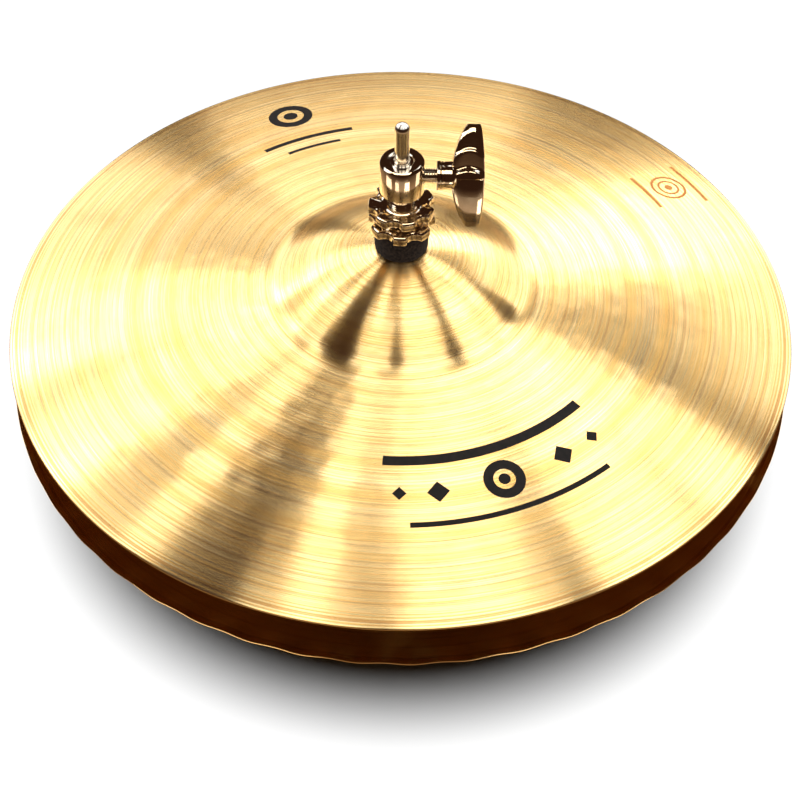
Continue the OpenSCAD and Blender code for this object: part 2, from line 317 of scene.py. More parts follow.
bronze = makeBronze()
chrome, steel, brass = (makeMetal(name) for name in metalLooks)
felt, nylon, plastic, blackInk, amberInk = (makeSoft(name) for name in softLooks)
print("materials made")


# mesh helpers

def smoothSharp(mesh, sharpAngle):
    mesh.shade_smooth()
    mesh.set_sharp_from_angle(angle=radians(sharpAngle))


def linkPiece(bm, name, body, material, stands=(), sharpAngle=35):
    bmesh.ops.remove_doubles(bm, verts=bm.verts, dist=0.5e-6)
    bmesh.ops.recalc_face_normals(bm, faces=bm.faces)
    mesh = bpy.data.meshes.new(name)
    bm.to_mesh(mesh)
    bm.free()
    smoothSharp(mesh, sharpAngle)
    mesh.materials.append(material)
    piece = bpy.data.objects.new(name, mesh)
    scene.collection.objects.link(piece)
    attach(piece, body)
    if stands:
        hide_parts(*stands)
    return piece


def spinOutline(bm, points, steps, closed=True):
    start = [bm.verts.new((r, 0, z)) for r, z in points]
    pairs = list(zip(start, start[1:])) + ([(start[-1], start[0])] if closed else [])
    edges = [bm.edges.new(pair) for pair in pairs]
    bmesh.ops.spin(bm, geom=start + edges, cent=(0, 0, 0), axis=(0, 0, 1), angle=2 * pi,
                   steps=steps, use_merge=True)


def shift(bm, x, z):
    bmesh.ops.translate(bm, verts=bm.verts, vec=(x, 0, z))


def rotate(bm, angle, axis):
    bmesh.ops.rotate(bm, verts=bm.verts, cent=(0, 0, 0), matrix=Matrix.Rotation(angle, 3, axis))


# cymbals: one spun sheet, hammered and lathed; the lower one is turned over and its edge rippled

cymbal = {
    "sheet": 1.1 * mm, "hole": 6.2 * mm, "bowStart": 58 * mm, "fillet": 16 * mm,
    "bellSlope": radians(39), "bowSlope": radians(6), "edgeSlope": radians(17),
    "topRings": (250, 96), "bottomRings": (70, 70), "steps": 256, "stepsPerRipple": 12,
    "toolMark": 0.009 * mm,
    "dentRows": 9, "firstRow": 62 * mm, "lastRow": 139 * mm, "dentPitch": 10 * mm,
    "dentRadius": 6.5 * mm, "dentDepth": 0.05 * mm,
    "rippleCount": 48, "rippleHeight": 0.5 * mm, "rippleWidth": 13 * mm,
}
topLow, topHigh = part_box("top_cymbal")
bottomLow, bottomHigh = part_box("bottom_cymbal")
cymbalRadius = (topHigh.x - topLow.x) / 2
lipDrop = cymbal["sheet"] * cos(cymbal["edgeSlope"])
topEdgeZ = topLow.z + lipDrop
bottomEdgeZ = bottomHigh.z - lipDrop

bend = sin(cymbal["edgeSlope"]) - sin(cymbal["bowSlope"])
bowRadius = (cymbalRadius - cymbal["bowStart"]) / bend
bowX = cymbalRadius - bowRadius * sin(cymbal["edgeSlope"])
bowZ = -bowRadius * cos(cymbal["edgeSlope"])
filletX = cymbal["bowStart"] + cymbal["fillet"] * sin(cymbal["bowSlope"])
filletZ = bowZ + (bowRadius + cymbal["fillet"]) * cos(cymbal["bowSlope"])
bellEdge = filletX - cymbal["fillet"] * sin(cymbal["bellSlope"])
bellRadius = bellEdge / sin(cymbal["bellSlope"])
bellZ = filletZ - (cymbal["fillet"] + bellRadius) * cos(cymbal["bellSlope"])


def sheetPoint(r, depth=0.0):
    # a point at radius r of the outer face, moved square into the sheet by depth
    if r < bellEdge:
        slope = math.asin(r / bellRadius)
        z = bellZ + bellRadius * cos(slope)
    elif r < cymbal["bowStart"]:
        slope = math.asin((filletX - r) / cymbal["fillet"])
        z = filletZ - cymbal["fillet"] * cos(slope)
    else:
        slope = math.asin((r - bowX) / bowRadius)
        z = bowZ + bowRadius * cos(slope)
    return r - depth * sin(slope), z - depth * cos(slope)


def lathedFace(depth, rings, dice, skip):
    first, last = cymbal["hole"] + skip, cymbalRadius - skip
    points = []
    for i in range(rings + 1):
        r, z = sheetPoint(first + (last - first) * i / rings, depth)
        points.append((r, z + dice.uniform(-1, 1) * cymbal["toolMark"]))
    return points


def roundEnd(r, outward, count=5):
    # half a circle between the two faces, at the rim or at the hole
    half = cymbal["sheet"] / 2
    middle = Vector(sheetPoint(r, half))
    across = (Vector(sheetPoint(r, 0)) - middle).normalized()
    along = Vector((across.y, -across.x)) * outward
    turns = [pi * (i + 1) / (count + 1) for i in range(count)]
    return [tuple(middle + (across * cos(t) + along * sin(t)) * half) for t in turns]


def makeCymbal(seed, steps, outerRings, innerRings):
    dice = random.Random(seed)
    skip = cymbal["sheet"] / 2
    outer = lathedFace(0, outerRings, dice, skip)
    inner = lathedFace(cymbal["sheet"], innerRings, dice, skip)
    rim = roundEnd(cymbalRadius - skip, 1)
    eye = roundEnd(cymbal["hole"] + skip, -1)
    bm = bmesh.new()
    spinOutline(bm, outer + rim + inner[::-1] + eye[::-1], steps)
    bmesh.ops.remove_doubles(bm, verts=bm.verts, dist=1e-7)
    hammer(bm, dice)
    return bm


def hammer(bm, dice):
    tree = KDTree(len(bm.verts))
    bm.verts.ensure_lookup_table()
    for v in bm.verts:
        tree.insert((v.co.x, v.co.y, 0), v.index)
    tree.balance()
    rows, reach = cymbal["dentRows"], cymbal["dentRadius"]
    for row in range(rows):
        r = cymbal["firstRow"] + (cymbal["lastRow"] - cymbal["firstRow"]) * row / (rows - 1)
        count = round(2 * pi * r / cymbal["dentPitch"])
        start = dice.uniform(0, 1)
        for i in range(count):
            turn = 2 * pi * (i + start + dice.uniform(-0.3, 0.3)) / count
            place = r + dice.uniform(-2.5, 2.5) * mm
            depth = cymbal["dentDepth"] * dice.uniform(0.2, 1.3)
            for _, index, far in tree.find_range((place * cos(turn), place * sin(turn), 0), reach):
                bm.verts[index].co.z -= depth * (1 - (far / reach) ** 2) ** 2


bm = makeCymbal(11, cymbal["steps"], *cymbal["topRings"])
shift(bm, 0, topEdgeZ)
topCymbal = linkPiece(bm, "topCymbal", "top_cymbal", bronze, ["top_cymbal"], 60)

bm = makeCymbal(12, cymbal["stepsPerRipple"] * cymbal["rippleCount"], *cymbal["bottomRings"])
for v in bm.verts:
    out = math.hypot(v.co.x, v.co.y) - cymbalRadius + cymbal["rippleWidth"]
    if out > 0:
        share = (out / cymbal["rippleWidth"]) ** 1.5
        v.co.z += cymbal["rippleHeight"] * share * sin(cymbal["rippleCount"] * math.atan2(v.co.y, v.co.x))
bmesh.ops.scale(bm, verts=bm.verts, vec=(1, 1, -1))
shift(bm, 0, bottomEdgeZ)
bottomCymbal = linkPiece(bm, "bottomCymbal", "bottom_cymbal", bronze, ["bottom_cymbal"], 60)
print("cymbals made")


# more mesh helpers: rings stacked on an outline, screw threads and cut-outs

def placeRing(verts, outline, radius, z, inset=0.0):
    for v in verts:
        turn = math.atan2(v.co.y, v.co.x)
        reach = outline(turn) - inset if radius is None else radius
        v.co = (reach * cos(turn), reach * sin(turn), z)


def growRing(bm, edges, outline, *level):
    grown = bmesh.ops.extrude_edge_only(bm, edges=edges)["geom"]
    placeRing([g for g in grown if isinstance(g, bmesh.types.BMVert)], outline, *level)
    return [g for g in grown if isinstance(g, bmesh.types.BMEdge) and g.is_boundary]


def stackRings(bm, levels, steps, outline=None):
    # each level is (radius, height), or (None, height, inset) for a ring that follows the outline
    ring = bmesh.ops.create_circle(bm, radius=1.0, segments=steps)["verts"]
    edges = list({e for v in ring for e in v.link_edges})
    placeRing(ring, outline, *levels[0])
    for level in levels[1:]:
        edges = growRing(bm, edges, outline, *level)
    return edges


def stackSolid(bm, levels, steps):
    closeEnd(bm, stackRings(bm, levels, steps))
    closeEnd(bm, [e for e in bm.edges if e.is_boundary])


def hollowed(levels):
    # the same levels, closed back on to the first one
    return levels + [levels[0]]


def flutedOutline(radius, flutes, depth):
    def reach(turn):
        return radius - depth * max(0.0, cos(flutes * turn)) ** 1.5
    return reach


def lobedOutline(radius, lobes, hollow, firstLobe, soften):
    centre = radius + 0.425 * hollow

    def reach(turn):
        share = (turn - firstLobe) * lobes / (2 * pi)
        off = (share - math.floor(share) - 0.5) * 2 * pi / lobes
        side = centre * sin(off)
        if abs(side) >= hollow:
            return radius
        valley = centre * cos(off) - math.sqrt(hollow * hollow - side * side)
        return -soften * math.log(math.exp(-radius / soften) + math.exp(-valley / soften))
    return reach


def layAlongX(bm, z):
    rotate(bm, pi / 2, "Y")
    shift(bm, 0, z)


def cutThread(bm, radius, pitch, depth, low, high, steps=48):
    # a screw thread from low to high; hands back its lower and upper edges, chamfered
    turns = math.ceil((high - low) / pitch) + 2
    crest = [(radius - depth, 0), (radius - 0.12 * depth, 0.38 * pitch), (radius, 0.5 * pitch),
             (radius - 0.12 * depth, 0.62 * pitch), (radius - depth, pitch)]
    old = set(bm.verts)
    verts = [bm.verts.new((r, 0, z)) for r, z in crest]
    edges = [bm.edges.new(pair) for pair in zip(verts, verts[1:])]
    bmesh.ops.spin(bm, geom=verts + edges, cent=(0, 0, 0), axis=(0, 0, 1), dvec=(0, 0, pitch / steps),
                   angle=2 * pi * turns, steps=steps * turns)
    made = [v for v in bm.verts if v not in old]
    bmesh.ops.remove_doubles(bm, verts=made, dist=4e-6)
    made = [v for v in bm.verts if v not in old]
    bmesh.ops.translate(bm, verts=made, vec=(0, 0, low - pitch))
    ends = []
    for z, side in ((low + depth, -1), (high - depth, 1)):
        mine = [v for v in bm.verts if v not in old]
        edges, faces = {e for v in mine for e in v.link_edges}, {f for v in mine for f in v.link_faces}
        geom = mine + list(edges) + list(faces)
        cut = bmesh.ops.bisect_plane(bm, geom=geom, plane_co=(0, 0, z), plane_no=(0, 0, side),
                                     clear_outer=True, dist=1e-7)
        loop = [g for g in cut["geom_cut"] if isinstance(g, bmesh.types.BMEdge) and g.is_boundary]
        ends.append(growRing(bm, loop, None, radius - depth, z + side * depth))
    return ends


def closeEnd(bm, edges):
    bmesh.ops.holes_fill(bm, edges=edges, sides=0)


def joinEnds(bm, first, second):
    bmesh.ops.bridge_loops(bm, edges=first + second)


def carve(piece, cutters, operation="DIFFERENCE"):
    # cuts each bmesh out of a finished piece, or joins it on
    for bm in cutters:
        bmesh.ops.remove_doubles(bm, verts=bm.verts, dist=0.5e-6)
        bmesh.ops.recalc_face_normals(bm, faces=bm.faces)
        tool = bpy.data.objects.new("cutter", bpy.data.meshes.new("cutter"))
        bm.to_mesh(tool.data)
        bm.free()
        scene.collection.objects.link(tool)
        change = piece.modifiers.new("carve", "BOOLEAN")
        change.operation, change.solver, change.object = operation, "EXACT", tool
        bpy.context.view_layer.update()
        made = bpy.data.meshes.new_from_object(piece.evaluated_get(bpy.context.evaluated_depsgraph_get()))
        piece.modifiers.remove(change)
        old = piece.data
        piece.data = made
        bpy.data.objects.remove(tool)
        bpy.data.meshes.remove(old)
    smoothSharp(piece.data, 35)


def cylinderAlongX(start, end, radius, z, mouth=0.0):
    # a cutter with a widened mouth at its far end
    bm = bmesh.new()
    widened = [(radius, end - 2 * mouth), (radius + mouth, end - mouth), (radius + 3 * mouth, end + mouth)]
    stackSolid(bm, [(radius, start)] + (widened if mouth else [(radius, end)]), 64)
    layAlongX(bm, z)
    return bm


# felts: pressed rings with soft corners, an uneven skin and loose fibres

feltLook = {"corner": 1.1 * mm, "belly": 0.25 * mm, "unevenness": 0.16 * mm, "steps": 120, "wallRings": 14,
            "fibres": 650, "fibreLength": 0.9 * mm, "fibreWidth": 0.035 * mm}


def makeFelt(name, node, body, bore, seed):
    low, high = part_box(node)
    radius, height = (high.x - low.x) / 2, high.z - low.z
    dice = random.Random(seed)
    corner, rings = feltLook["corner"], feltLook["wallRings"]
    edge, tall = radius - feltLook["belly"], height - 2 * corner
    lower = [(bore, low.z + 0.3 * mm), (bore + 0.4 * mm, low.z)]
    lower += [(radius - corner - i * (radius - corner - bore) / 5, low.z) for i in (3, 2, 1)]
    for i in range(5):
        turn = pi / 2 * i / 4
        lower.append((edge - corner * (1 - sin(turn)), low.z + corner * (1 - cos(turn))))
    wall = [(edge + feltLook["belly"] * sin(pi * i / rings), low.z + corner + tall * i / rings)
            for i in range(1, rings)]
    points = lower + wall + [(r, low.z + high.z - z) for r, z in lower[::-1]]
    bm = bmesh.new()
    spinOutline(bm, points, feltLook["steps"])
    for v in bm.verts:
        wave = noise.noise(v.co * 380 + Vector((seed, 0, 0))) + 0.5 * noise.noise(v.co * 1100)
        out = Vector((v.co.x, v.co.y, 0)).normalized()
        v.co -= out * feltLook["unevenness"] * abs(wave) * (1 if v.co.xy.length > bore + mm else 0)
    for i in range(feltLook["fibres"]):
        turn, z = dice.uniform(0, 2 * pi), dice.uniform(low.z + 0.3 * mm, high.z - 0.2 * mm)
        length = feltLook["fibreLength"] * dice.uniform(0.5, 1.2)
        reach = radius - 0.45 * mm
        root = Vector((reach * cos(turn), reach * sin(turn), z))
        sideX, sideY, rise = (dice.uniform(-most, most) for most in (1.3, 1.3, 0.7))
        lean = Vector((cos(turn + sideX), sin(turn + sideY), rise))
        middle = root + lean.normalized() * length / 2
        place = Matrix.Translation(middle) @ lean.to_track_quat("Z", "Y").to_matrix().to_4x4()
        bmesh.ops.create_cone(bm, cap_ends=True, segments=3, radius1=feltLook["fibreWidth"],
                              radius2=feltLook["fibreWidth"] * 0.3, depth=length, matrix=place)
    return linkPiece(bm, name, body, felt, [node], 60)


sleeve = {"radius": 5.0 * mm, "pitch": 1.0 * mm, "depth": 0.5 * mm, "bore": 3.1 * mm, "neck": 4.6 * mm,
          "collar": 4.85 * mm}
upperFelt = makeFelt("upperFelt", "upper_felt", "felts", sleeve["radius"] + 0.3 * mm, 21)
lowerFelt = makeFelt("lowerFelt", "lower_felt", "felts", sleeve["radius"] + 0.3 * mm, 22)
seatFelt = makeFelt("seatFelt", "seat_felt", "seat_plate", 6.2 * mm, 23)
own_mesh(upperFelt)
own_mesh(lowerFelt)
print("felts made")


# lock nuts: seven lobes, a bright bevel and, on the upper one, a dished top with a collar

lockNut = {"radius": 13.6 * mm, "lobes": 7, "hollow": 4.0 * mm, "soften": 0.14 * mm, "bevel": 0.75 * mm,
           "steps": 210, "bore": 5.05 * mm,
           "discHeight": 4.2 * mm, "hubRadius": 8.0 * mm, "upperTurn": radians(-77),
           "lowerTurn": radians(-93)}


def makeLockNut(name, node, body, turn, dished):
    low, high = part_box(node)
    look = lockNut
    top, bevel, bore, hub = high.z, look["bevel"], look["bore"], look["hubRadius"]
    base = top - look["discHeight"]
    outline = lobedOutline(look["radius"], look["lobes"], look["hollow"], turn, look["soften"])
    levels = [(bore + 0.4 * mm, low.z), (bore, low.z + 0.4 * mm), (bore, top - 0.9 * mm)]
    if dished:
        levels += [(bore + 0.5 * mm, top - 0.45 * mm), (6.4 * mm, top - 0.4 * mm),
                   (6.9 * mm, top - 0.75 * mm),
                   (7.4 * mm, top - 1.15 * mm), (8.2 * mm, top - 1.2 * mm), (None, top - 0.5 * mm, 1.9 * mm),
                   (None, top - 0.08 * mm, 1.35 * mm)]
    else:
        levels += [(bore + 0.5 * mm, top - 0.4 * mm), (8.6 * mm, top - 0.35 * mm),
                   (None, top - 0.06 * mm, 1.5 * mm)]
    levels += [(None, top, bevel + 0.15 * mm), (None, top - 0.06 * mm, bevel - 0.15 * mm),
               (None, top - 0.42 * mm, 0.3 * mm),
               (None, top - 0.75 * mm, 0.05 * mm), (None, top - 1.0 * mm, 0.0), (None, base + 0.7 * mm, 0.0),
               (None, base + 0.3 * mm, 0.12 * mm), (None, base, 0.5 * mm)]
    if dished:
        levels += [(hub + 0.6 * mm, base), (hub, base - 0.5 * mm), (hub, low.z + 0.4 * mm),
                   (hub - 0.4 * mm, low.z)]
    bm = bmesh.new()
    stackRings(bm, hollowed(levels), look["steps"], outline)
    return linkPiece(bm, name, body, chrome, [node], 40)


upperLockNut = makeLockNut("upperLockNut", "upper_lock_nut", "upper_nut", lockNut["upperTurn"], True)
lowerLockNut = makeLockNut("lowerLockNut", "lower_lock_nut", "lower_nut", lockNut["lowerTurn"], False)
print("lock nuts made")


# clutch: threaded sleeve, barrel and the nut under the top cymbal

def makeSleeve():
    low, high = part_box("threaded_sleeve")
    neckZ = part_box("clutch_barrel")[0].z - sleeve["neck"]
    bm = bmesh.new()
    bottom, top = cutThread(bm, sleeve["radius"], sleeve["pitch"], sleeve["depth"], low.z, neckZ)
    for radius, z in ((sleeve["collar"] - 0.3 * mm, neckZ + 0.6 * mm), (sleeve["collar"], neckZ + 0.9 * mm),
                      (sleeve["collar"], high.z)):
        top = growRing(bm, top, None, radius, z)
    top = growRing(bm, top, None, sleeve["bore"], high.z)
    bottom = growRing(bm, bottom, None, sleeve["bore"] + 0.3 * mm, low.z)
    bottom = growRing(bm, bottom, None, sleeve["bore"], low.z + 0.3 * mm)
    joinEnds(bm, bottom, top)
    return linkPiece(bm, "threadedSleeve", "clutch", chrome, ["threaded_sleeve"], 50)


barrel = {"radius": 9.0 * mm, "bevel": 0.95 * mm, "bore": 3.12 * mm, "sink": 4.9 * mm, "sinkDepth": 0.55 * mm,
          "screwHole": 3.08 * mm}
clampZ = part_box("clamp_screw")[0].z + 3.0 * mm


def makeBarrel():
    low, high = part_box("clutch_barrel")
    look = barrel
    radius, bevel = look["radius"], look["bevel"]
    bore, sink, sinkZ = look["bore"], look["sink"], high.z - look["sinkDepth"]
    bm = bmesh.new()
    stackRings(bm, hollowed([
        (bore, low.z + 0.1 * mm), (bore, sinkZ - 0.35 * mm), (bore + 0.35 * mm, sinkZ),
        (sink - 0.35 * mm, sinkZ),
        (sink - 0.12 * mm, high.z - 0.12 * mm), (sink + 0.1 * mm, high.z),
        (radius - bevel - 0.1 * mm, high.z), (radius - bevel + 0.12 * mm, high.z - 0.06 * mm),
        (radius - 0.12 * mm, high.z - bevel + 0.06 * mm), (radius, high.z - bevel - 0.12 * mm),
        (radius, low.z + 0.3 * mm), (radius - 0.3 * mm, low.z), (5.6 * mm, low.z),
        (5.2 * mm, low.z + 0.1 * mm)]), 128)
    piece = linkPiece(bm, "clutchBarrel", "clutch", chrome, ["clutch_barrel"], 30)
    carve(piece, [cylinderAlongX(0.0, radius, look["screwHole"], clampZ, 0.35 * mm)])
    return piece


bottomNut = {"flutes": 20, "depth": 0.65 * mm, "radius": 8.5 * mm, "flangeHeight": 3.0 * mm,
             "flange": 10.5 * mm, "bore": 5.05 * mm}


def makeBottomNut():
    low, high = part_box("clutch_bottom_nut")
    look = bottomNut
    flangeZ = high.z - look["flangeHeight"]
    outline = flutedOutline(look["radius"], look["flutes"], look["depth"])
    bore, flange = look["bore"], look["flange"]
    bm = bmesh.new()
    stackRings(bm, hollowed([
        (bore + 0.4 * mm, low.z), (bore, low.z + 0.4 * mm), (bore, high.z - 0.4 * mm),
        (bore + 0.4 * mm, high.z),
        (flange - 0.5 * mm, high.z), (flange - 0.12 * mm, high.z - 0.15 * mm), (flange, high.z - 0.5 * mm),
        (flange, flangeZ + 0.5 * mm), (flange - 0.12 * mm, flangeZ + 0.15 * mm), (flange - 0.5 * mm, flangeZ),
        (None, flangeZ, 0.25 * mm), (None, flangeZ - 0.35 * mm, 0.0), (None, low.z + 0.5 * mm, 0.0),
        (None, low.z + 0.15 * mm, 0.15 * mm), (None, low.z, 0.6 * mm)]), 240, outline)
    return linkPiece(bm, "clutchBottomNut", "bottom_nut", chrome, ["clutch_bottom_nut"], 40)


threadedSleeve = makeSleeve()
clutchBarrel = makeBarrel()
clutchBottomNut = makeBottomNut()
print("clutch made")


# wing bolt: threaded screw, captive washer and a two-leaf handle with stepped grips

wing = {"width": 13.3 * mm, "half": 21.5 * mm, "lean": radians(20), "innerPull": 5.6 * mm,
        "outerDrop": 1.8 * mm,
        "hubLength": 4.1 * mm, "hubRadius": 5.8 * mm, "middle": 4.3 * mm, "tip": 1.35 * mm, "stations": 118,
        "across": 16,
        "ledges": ((3.2 * mm, 1.9 * mm, 0.6 * mm), (11.4 * mm, 1.6 * mm, 0.4 * mm)), "roll": 1.7 * mm,
        "terrace": 8.0 * mm,
        "bulge": 2.0, "facetStart": 18.2 * mm, "facetDrop": 1.5 * mm, "crown": 2.8 * mm}


def wingFront(along, side):
    # half thickness of a leaf at a distance from the hub; side runs from -1 to 1 across it
    look = wing
    share = min(1.0, abs(along) / look["half"])
    if along <= 0:
        return look["tip"] + (look["middle"] - look["tip"]) * (1 - share ** look["bulge"])
    reach = along + look["crown"] * side * side
    full = look["tip"] + (look["middle"] - look["tip"]) * (1 - min(1.0,
        reach / look["half"])) ** 0.8 + 0.5 * mm
    cut = 0.0
    for start, step, tail in look["ledges"]:
        rise = max(0.0, min(1.0, (reach - start) / look["roll"]))
        fade = max(0.0, min(1.0, (reach - start - look["roll"]) / (look["terrace"] - look["roll"])))
        if rise > 0:
            cut = cut * (1 - rise) + (step * (1 - fade) + tail * fade) * rise * rise * (3 - 2 * rise)
    facet = max(0.0, min(1.0, (reach - look["facetStart"]) / (look["half"] - look["facetStart"])))
    return max(0.45 * mm, full - cut - look["facetDrop"] * facet)


def makeWing():
    look = wing
    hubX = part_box("wing_handle")[0].x
    bm = bmesh.new()
    bmesh.ops.create_cube(bm, size=2.0)
    bmesh.ops.bevel(bm, geom=bm.edges[:], offset=0.12, affect="EDGES", segments=3, profile=0.5, material=-1)
    for count, axis in ((look["stations"], Vector((0, 1, 0))), (look["across"], Vector((1, 0, 0)))):
        for i in range(1, count):
            bmesh.ops.bisect_plane(bm, geom=bm.verts[:] + bm.edges[:] + bm.faces[:],
                                   plane_co=axis * (-1 + 2 * i / count), plane_no=axis, dist=1e-5)
    startX = hubX + look["hubLength"]
    for v in bm.verts:
        side, along, through = v.co
        reach = along * look["half"]
        inner = look["innerPull"] * along * along
        outer = look["width"] - look["outerDrop"] * along * along
        x = startX + inner + (outer - inner) * (side + 1) / 2
        half = wingFront(reach, side) if through < 0 else wingFront(-reach, side)
        rounding = 1 - 0.16 * side ** 4
        v.co = (x, through * half * rounding, reach)
    rotate(bm, -look["lean"], "X")
    shift(bm, 0, clampZ)
    piece = linkPiece(bm, "wingHandle", "wing_bolt", chrome, ["wing_handle"], 50)
    hub = bmesh.new()
    r, length = look["hubRadius"], look["hubLength"]
    stackSolid(hub, [
        (3.0 * mm, 0.0), (r - 0.45 * mm, 0.0), (r - 0.08 * mm, 0.2 * mm), (r, 0.5 * mm),
        (r - 0.08 * mm, 0.85 * mm),
        (r - 0.35 * mm, 1.05 * mm), (r - 0.35 * mm, 1.2 * mm), (r - 0.12 * mm, 1.4 * mm),
        (r - 0.1 * mm, length),
        (r - 0.35 * mm, length + 0.8 * mm), (r - 1.1 * mm, length + 1.8 * mm),
        (r - 2.6 * mm, length + 2.8 * mm),
        (r - 4.6 * mm, length + 3.3 * mm)], 96)
    shift(hub, 0, hubX)
    layAlongX(hub, clampZ)
    carve(piece, [hub], "UNION")
    return piece


clamp = {"radius": 3.0 * mm, "pitch": 1.0 * mm, "depth": 0.5 * mm, "tipLength": 0.8 * mm,
         "tipRadius": 2.2 * mm}
washer = {"radius": 6.0 * mm, "bore": 3.05 * mm}


def makeClampScrew():
    low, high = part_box("clamp_screw")
    bm = bmesh.new()
    tip, end = cutThread(bm, clamp["radius"], clamp["pitch"], clamp["depth"], low.x + clamp["tipLength"],
                         high.x)
    tip = growRing(bm, tip, None, clamp["tipRadius"], low.x)
    closeEnd(bm, tip)
    closeEnd(bm, end)
    layAlongX(bm, clampZ)
    return linkPiece(bm, "clampScrew", "wing_bolt", steel, ["clamp_screw"], 50)


def makeWasher():
    low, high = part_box("clamp_washer")
    radius, bore = washer["radius"], washer["bore"]
    levels = [(bore, low.x + 0.2 * mm), (bore, high.x - 0.2 * mm), (bore + 0.2 * mm, high.x),
              (radius - 0.5 * mm, high.x),
              (radius - 0.12 * mm, high.x - 0.15 * mm), (radius, high.x - 0.5 * mm),
              (radius - 0.15 * mm, (low.x + high.x) / 2),
              (radius, low.x + 0.5 * mm), (radius - 0.12 * mm, low.x + 0.15 * mm), (radius - 0.5 * mm, low.x),
              (bore + 0.2 * mm, low.x)]
    bm = bmesh.new()
    stackRings(bm, hollowed(levels), 96)
    layAlongX(bm, clampZ)
    return linkPiece(bm, "clampWasher", "clamp_washer", chrome, ["clamp_washer"], 50)


wingHandle = makeWing()
clampScrew = makeClampScrew()
clampWasher = makeWasher()
print("wing bolt made")


# pull rod: thread and relief groove below, a domed end above

rod = {"radius": 3.0 * mm, "threadRadius": 2.9 * mm, "pitch": 1.0 * mm, "threadLength": 14 * mm,
       "relief": 2 * mm, "reliefRadius": 2.4 * mm}


def makeRod():
    low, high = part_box("pull_rod")
    look = rod
    threadTop = low.z + look["threadLength"]
    bm = bmesh.new()
    bottom, top = cutThread(bm, look["threadRadius"], look["pitch"], 0.5 * mm, low.z, threadTop)
    closeEnd(bm, growRing(bm, bottom, None, 1.4 * mm, low.z))
    shaftZ = threadTop + look["relief"]
    radius, relief = look["radius"], look["reliefRadius"]
    for level in ((relief, threadTop + 0.1 * mm), (relief, shaftZ - 0.5 * mm), (radius - 0.2 * mm, shaftZ),
                  (radius, shaftZ + 0.3 * mm)):
        top = growRing(bm, top, None, *level)
    for i in range(9):
        turn = pi / 2 * i / 9
        top = growRing(bm, top, None, radius * cos(turn), high.z - radius * (1 - sin(turn)))
    closeEnd(bm, top)
    return linkPiece(bm, "pullRod", "pull_rod", steel, ["pull_rod"], 50)


pullRod = makeRod()
print("pull rod made")


# seat: socket with its screw, cup, plate, sleeve, bushing and the tilt screw

seat = {"socketRadius": 9.5 * mm, "socketBore": 6.4 * mm, "socketDepth": 18 * mm, "tenon": 7.0 * mm,
        "guide": 5.2 * mm, "bushing": 4.6 * mm,
        "cupRadius": 24 * mm, "lip": 1.4 * mm, "floor": 4 * mm, "setZ": 9 * mm, "boss": 5.0 * mm,
        "tiltX": 17.5 * mm, "hole": 2.55 * mm, "plateHole": 6.2 * mm, "guideHole": 3.6 * mm,
        "rodHole": 3.05 * mm, "soften": 0.4 * mm}


def turnedPiece(name, body, material, node, levels, steps=128):
    bm = bmesh.new()
    stackRings(bm, hollowed(levels), steps)
    return linkPiece(bm, name, body, material, [node], 35)


def softCorners(corners, soften):
    # trims every corner of a turned outline to a small flat
    trimmed = []
    for before, here, after in zip(corners[-1:] + corners[:-1], corners, corners[1:] + corners[:1]):
        point = Vector(here)
        for other in (before, after):
            way = Vector(other) - point
            trimmed.append(tuple(point + way.normalized() * min(soften, way.length * 0.3)))
    return trimmed


def plainRing(name, body, material, node, hole, rim, soften, steps=96):
    low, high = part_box(node)
    corners = [(hole, low.z), (hole, high.z), (rim, high.z), (rim, low.z)]
    return turnedPiece(name, body, material, node, softCorners(corners, soften), steps)


